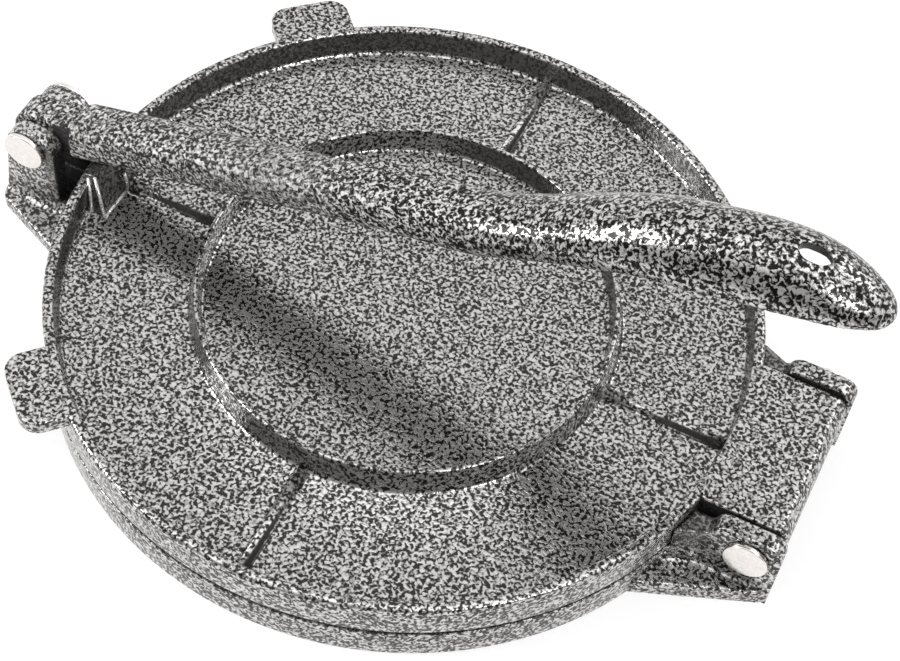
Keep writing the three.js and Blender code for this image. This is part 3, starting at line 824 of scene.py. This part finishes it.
def vein_pattern():
    """Worm-like dark veins between bright flakes; rim, ring and seam walls take painted shade."""
    tree, given, out = new_group("vein_pattern", {
        "Fineness": 1050,
        "Detail": 0.35,
        "Darker": 0,
        "Flake": (0.56, 0.543, 0.53, 1),
        "Vein": (0.003, 0.0029, 0.0029, 1),
        # Wall is the colour of painted shade; Wall Share and Shade set how much of it is laid on.
        "Wall": (0.035, 0.034, 0.034, 1),
        "Wall Share": 0,
        "Shade": 0,
        "Vein Roughness": 0.2,
        "Flake Roughness": 0.24,
        "Flake Metal": 0.85,
    }, ("Color", "Roughness", "Metallic", "Height"))
    place, normal = coordinates(tree)

    noise = fed(tree, tree.nodes.new("ShaderNodeTexNoise"), {
        "Vector": place,
        "Scale": given["Fineness"],
        "Detail": given["Detail"],
        "Roughness": 0.5,
        "Distortion": 0.6,
    }).outputs["Fac"]
    cover = calculated(tree, "SUBTRACT", noise, given["Darker"])
    flakes = ranged(tree, cover, *FLAKE_STEP)
    flake = mixed(tree, ranged(tree, cover, *HEART_STEP), given["Flake"], HEART_COLOUR)
    paint = mixed(tree, flakes, given["Vein"], flake)

    # Painted shade on steep walls inside the plate's edge: the rim's all round, the ring's on its
    # near side
    steepness = calculated(tree, "ABSOLUTE", split(tree, normal)["Z"])
    wall = ranged(tree, steepness, *WALL_STEP, 1, 0)
    level = vector_calculated(tree, "MULTIPLY", place, (1, 1, 0))["Vector"]
    radius = vector_calculated(tree, "LENGTH", level)["Value"]
    inside = calculated(tree, "LESS_THAN", radius, PLATE_EDGE)
    inside_wall = calculated(tree, "MULTIPLY", wall, inside)
    towards = vector_calculated(tree, "DOT_PRODUCT", normal, RING_NEAR_WAY)["Value"]
    near_side = ranged(tree, towards, *NEAR_STEP)
    by_rim = calculated(tree, "GREATER_THAN", radius, RIM_ZONE)
    facing = calculated(tree, "MAXIMUM", near_side, by_rim)
    inner_wall = calculated(tree, "MULTIPLY", inside_wall, facing)

    # Painted shade in the groove between the plates
    height = calculated(tree, "SUBTRACT", split(tree, place)["Z"], SEAM_PLACE)
    joint = ranged(tree, calculated(tree, "ABSOLUTE", height), SEAM_FADE, SEAM_REACH)
    seam = calculated(tree, "MULTIPLY", joint, calculated(tree, "SUBTRACT", 1, inside))

    wall_and_seam_shade = calculated(tree, "MAXIMUM", inner_wall, seam)
    amount = calculated(tree, "MULTIPLY", wall_and_seam_shade, given["Wall Share"])
    deepest = calculated(tree, "MAXIMUM", amount, given["Shade"])
    fed(tree, out, {
        "Color": mixed(tree, deepest, paint, given["Wall"]),
        "Roughness": ranged(tree, flakes, 0, 1, given["Vein Roughness"],
                            given["Flake Roughness"], "LINEAR"),
        "Metallic": ranged(tree, flakes, 0, 1, VEIN_METAL, given["Flake Metal"], "LINEAR"),
        "Height": noise,
    })
    return tree


def recess_shade():
    """Painted shade in a recess, dark where little light gets in; faces that look up may stay
    clear.
    """
    names = ("Start", "End", "Inner", "Outer", "Bottom", "Softness", "Keep Top", "Depth")
    tree, given, out = new_group("recess_shade", {name: 0 for name in names}, ("Shade",))
    place, normal = coordinates(tree)
    at = split(tree, place)

    def past(value, limit):
        beyond = calculated(tree, "SUBTRACT", value, limit)
        return ranged(tree, calculated(tree, "DIVIDE", beyond, given["Softness"]), -0.5, 0.5)

    across = calculated(tree, "ABSOLUTE", at["Y"])
    upward = ranged(tree, split(tree, normal)["Z"], *UPWARD_STEP)
    high = ranged(tree, at["Z"], *TOP_STEP)
    top = calculated(tree, "MULTIPLY", upward, high)
    kept = calculated(tree, "MULTIPLY", top, given["Keep Top"])
    shaded_faces = calculated(tree, "SUBTRACT", 1, kept)
    shade = calculated(tree, "MULTIPLY", shaded_faces, given["Depth"])
    for factor in (
        past(at["X"], given["Start"]),
        past(given["End"], at["X"]),
        past(across, given["Inner"]),
        past(given["Outer"], across),
        past(at["Z"], given["Bottom"]),
    ):
        shade = calculated(tree, "MULTIPLY", shade, factor)
    fed(tree, out, {"Shade": shade})
    return tree


def lee_shade():
    """Painted shade, deepest on faces turned one way, such as the side of a ridge away from the
    light.
    """
    inputs = {"Away": (0, 0, 0), "Start": 0, "End": 0, "Depth": 0}
    tree, given, out = new_group("lee_shade", inputs, ("Shade",))
    _, normal = coordinates(tree)
    away = vector_calculated(tree, "DOT_PRODUCT", given["Away"], normal)["Value"]
    fed(tree, out, {"Shade": ranged(tree, away, given["Start"], given["End"], 0, given["Depth"])})
    return tree


def recess(start, end, inner=-1, outer=1, bottom=-1, softness=0.0006, keep_top=1, depth=0.94):
    """Painted shade in a recess from one place along X to another, between two distances from the
    middle plane.
    """
    return recess_group, (start, end, inner, outer, bottom, softness, keep_top, depth)


# Painted shade on faces turned away along a given way
def shade_facing_away(away, start, end, depth):
    return lee_group, (away, start, end, depth)


def laid_pattern(tree, shades, given):
    """The vein pattern with some inputs given, under the deepest of its painted shades."""
    group = tree.nodes.new("ShaderNodeGroup")
    group.node_tree = veins
    fed(tree, group, {name.replace("_", " ").title(): value for name, value in given.items()})
    deepest = None
    for kind, values in shades:
        shade = tree.nodes.new("ShaderNodeGroup")
        shade.node_tree = kind
        fed(tree, shade, dict(enumerate(values)))
        result = shade.outputs["Shade"]
        deepest = calculated(tree, "MAXIMUM", deepest, result) if deepest else result
    if deepest:
        fed(tree, group, {"Shade": deepest})
    return group.outputs


def vein_enamel(name, given, bold=None, shades=(), gleam=0.5):
    """Silver vein paint; on the lever it runs from a fine dull bar to a bold shiny grip."""
    material, tree, shader = new_material(name)
    look = laid_pattern(tree, shades, given)
    finish = {key: look[key] for key in ("Color", "Roughness", "Metallic", "Height")}
    if bold:
        far = laid_pattern(tree, shades, bold)
        along = split(tree, coordinates(tree)[0])["X"]
        bolder = ranged(tree, along, *BOLD_STEP)
        shinier = ranged(tree, along, *SHINE_STEP)
        finish = {
            "Color": mixed(tree, bolder, look["Color"], far["Color"]),
            "Roughness": mixed(tree, shinier, look["Roughness"], far["Roughness"], "FLOAT"),
            "Metallic": mixed(tree, shinier, look["Metallic"], far["Metallic"], "FLOAT"),
            "Height": mixed(tree, bolder, look["Height"], far["Height"], "FLOAT"),
        }
    bump = fed(tree, tree.nodes.new("ShaderNodeBump"), {
        "Strength": 0.25,
        "Distance": BUMP_HEIGHT,
        "Height": finish["Height"],
    })
    fed(tree, shader, {
        "Base Color": finish["Color"],
        "Roughness": finish["Roughness"],
        "Metallic": finish["Metallic"],
        "Specular IOR Level": gleam,
        "Normal": bump.outputs["Normal"],
    })
    return material


def bright_steel():
    """Chrome-bright steel with faint turning marks and a soft tone."""
    material, tree, shader = new_material("bright_steel")
    place, _ = coordinates(tree)
    noise = fed(tree, tree.nodes.new("ShaderNodeTexNoise"),
                {"Vector": place, "Scale": 900, "Detail": 3})
    marks = noise.outputs["Fac"]
    tone = ranged(tree, marks, 0.35, 0.65, kind="LINEAR")
    fed(tree, shader, {
        "Base Color": mixed(tree, tone, (0.80, 0.76, 0.72, 1), (0.88, 0.845, 0.81, 1)),
        "Roughness": ranged(tree, marks, 0, 1, 0.18, 0.3, "LINEAR"),
        "Metallic": 1,
    })
    return material


# Studio

def white_for_lenses(tree, shown, plain):
    """Shows one shader to the camera and to glossy and clear rays, and another to the rest."""
    path = tree.nodes.new("ShaderNodeLightPath").outputs
    seen = calculated(tree, "MAXIMUM", path["Is Camera Ray"], path["Is Glossy Ray"])
    seen = calculated(tree, "MAXIMUM", seen, path["Is Transmission Ray"])
    mix = fed(tree, tree.nodes.new("ShaderNodeMixShader"),
              {0: seen, 1: plain.outputs[0], 2: shown.outputs[0]})
    return mix.outputs[0]


def darker_in_front(tree, place, start, end, brightness):
    """A strength that falls towards the near side, for shiny reflections alone."""
    nearness = ranged(tree, split(tree, place)["Y"], start, end, 0, 0.74)
    glossy = tree.nodes.new("ShaderNodeLightPath").outputs["Is Glossy Ray"]
    lost = calculated(tree, "MULTIPLY", glossy, nearness)
    return calculated(tree, "MULTIPLY", calculated(tree, "SUBTRACT", 1, lost), brightness)


def white_world():
    world = bpy.data.worlds.new("studio")
    world.use_nodes = True
    bpy.context.scene.world = world
    tree = world.node_tree
    plain = fed(tree, tree.nodes["Background"], {"Color": (1, 1, 1, 1), "Strength": 0.45})
    way = tree.nodes.new("ShaderNodeTexCoord").outputs["Generated"]
    strength = darker_in_front(tree, way, 0.35, -0.6, 1)
    shown = fed(tree, tree.nodes.new("ShaderNodeBackground"),
                {"Color": (1, 1, 1, 1), "Strength": strength})
    fed(tree, tree.nodes["World Output"], {"Surface": white_for_lenses(tree, shown, plain)})


def floor_material():
    """White to the lens, with the press's shadow, and plain to the light that it bounces."""
    material, tree, unused = new_material("white_floor")
    tree.nodes.remove(unused)
    plain = fed(tree, tree.nodes.new("ShaderNodeBsdfDiffuse"), {"Color": (0.8, 0.8, 0.8, 1)})
    shade = fed(tree, tree.nodes.new("ShaderNodeBsdfDiffuse"), {"Color": (0.3, 0.3, 0.3, 1)})
    place, _ = coordinates(tree)
    strength = darker_in_front(tree, place, -0.15, -0.5, 0.76)
    glow = fed(tree, tree.nodes.new("ShaderNodeEmission"), {"Strength": strength})
    shown = fed(tree, tree.nodes.new("ShaderNodeAddShader"),
                {0: shade.outputs[0], 1: glow.outputs[0]})
    fed(tree, tree.nodes["Material Output"], {"Surface": white_for_lenses(tree, shown, plain)})
    return material


def floor():
    bm = bmesh.new()
    bmesh.ops.create_grid(bm, x_segments=1, y_segments=1, size=3)
    bmesh.ops.translate(bm, verts=bm.verts, vec=(0, 0, -0.0001))
    mesh = bpy.data.meshes.new("floor")
    bm.to_mesh(mesh)
    bm.free()
    sheet = bpy.data.objects.new("floor", mesh)
    bpy.context.collection.objects.link(sheet)
    mesh.materials.append(floor_material())


def soft_light(name, size, watts, azimuth, elevation, distance):
    """A soft lamp aimed at the press; azimuth 0 stands on the near side."""
    data = bpy.data.lights.new(name, "AREA")
    data.shape = "RECTANGLE"
    data.size, data.size_y = size
    data.energy = watts
    lamp = bpy.data.objects.new(name, data)
    turn = radians(azimuth)
    rise = radians(elevation)
    away = Vector((sin(turn) * cos(rise), -cos(turn) * cos(rise), sin(rise)))
    lamp.location = away * distance
    lamp.rotation_euler = away.to_track_quat("Z", "Y").to_euler()
    bpy.context.collection.objects.link(lamp)


def lights():
    soft_light("overhead", (1.6, 1.3), watts=5.5, azimuth=20, elevation=84, distance=1.3)
    soft_light("left", (0.5, 0.85), watts=12, azimuth=-61, elevation=31, distance=1.4)
    soft_light("right", (0.46, 0.46), watts=5, azimuth=61, elevation=45, distance=1.4)
    soft_light("back", (0.8, 0.6), watts=2.5, azimuth=140, elevation=38, distance=1.5)


place_camera()
veins = vein_pattern()
recess_group = recess_shade()
lee_group = lee_shade()
enamel = vein_enamel("vein_enamel", {})
# Painted shade on the plate's outer wall beside the clevis
plate_enamel = vein_enamel(
    "vein_enamel_plate",
    {"wall_share": 0.82, "vein": (0.007, 0.0068, 0.0067, 1),
     "vein_roughness": 0.13, "flake_roughness": 0.16},
    shades=[recess(-0.11, -0.0985, outer=0.0108, softness=0.001)])
# Painted shade on the sides of the ribs that face away from the light
rib_enamel = vein_enamel(
    "vein_enamel_rib", {"vein_roughness": 0.4, "flake_roughness": 0.45},
    shades=[shade_facing_away((0.7, -0.7, 0), 0.4, 0.65, 0.9)])
# Painted shade over the whole boss, which lies under the lever
boss_enamel = vein_enamel(
    "vein_enamel_boss", {}, shades=[recess(-1, 1, softness=0.001, keep_top=0, depth=0.62)])
# Painted highlights: a bright coat without dark veins for the beads along the boss's edges
painted_highlight_enamel = vein_enamel(
    "vein_enamel_painted_highlight", {"vein": (0.6, 0.585, 0.57, 1), "flake": (0.85, 0.84, 0.82, 1)})
# Painted shade between the ears' front and the plate, and in the slot between the ears
clevis_enamel = vein_enamel(
    "vein_enamel_clevis", {"vein": (0.03, 0.0295, 0.029, 1), "flake_roughness": 0.34},
    shades=[recess(-0.1125, -0.1, outer=0.0108, softness=0.001),
            recess(-0.1265, -0.1, outer=0.0056)])
# Painted shade on the root between the rim and the ears, and on the ears' inner faces beside the
# tongue
bracket_enamel = vein_enamel(
    "vein_enamel_bracket", {},
    shades=[recess(0.09, 0.1055, outer=0.0355, bottom=0.0128, softness=0.006, keep_top=0,
                   depth=0.62),
            recess(0.09, 0.1225, outer=0.0258, bottom=0.0128)])
# Painted shade on the tongue's sides in the gap beside the ears
tongue_enamel = vein_enamel("vein_enamel_tongue", {}, shades=[recess(0.09, 0.1235, inner=0.0231)])
# Painted shade in the hanging hole and the hollow behind it, in the slot beside the neck, and on
# the lever's underside
grip_enamel = vein_enamel(
    "vein_enamel_grip",
    {"flake": (0.37, 0.36, 0.351, 1), "vein": (0.016, 0.0157, 0.0154, 1),
     "vein_roughness": 0.58, "flake_roughness": 0.64, "flake_metal": 0.1},
    {"fineness": 970, "detail": 1.2, "darker": 0.04,
     "flake": (0.68, 0.66, 0.645, 1), "vein": (0.002, 0.0019, 0.0019, 1),
     "vein_roughness": 0.2, "flake_roughness": 0.26},
    shades=[recess(0.0985, 0.108, outer=0.0034, softness=0.0008),
            recess(-0.113, -0.1062, outer=0.0056),
            shade_facing_away((0, 0, -1), 0.25, 0.6, 0.8)],
    gleam=0.25)
steel = bright_steel()
plates()
clevis()
hinge_bracket()
lifting_tab("lifting_tab_front", -1)
lifting_tab("lifting_tab_back", 1)
hinge_tongue()
lever_boss()
boss_painted_highlights()
lever()
pins()
floor()
white_world()
lights()

bpy.context.scene.view_settings.view_transform = "Standard"
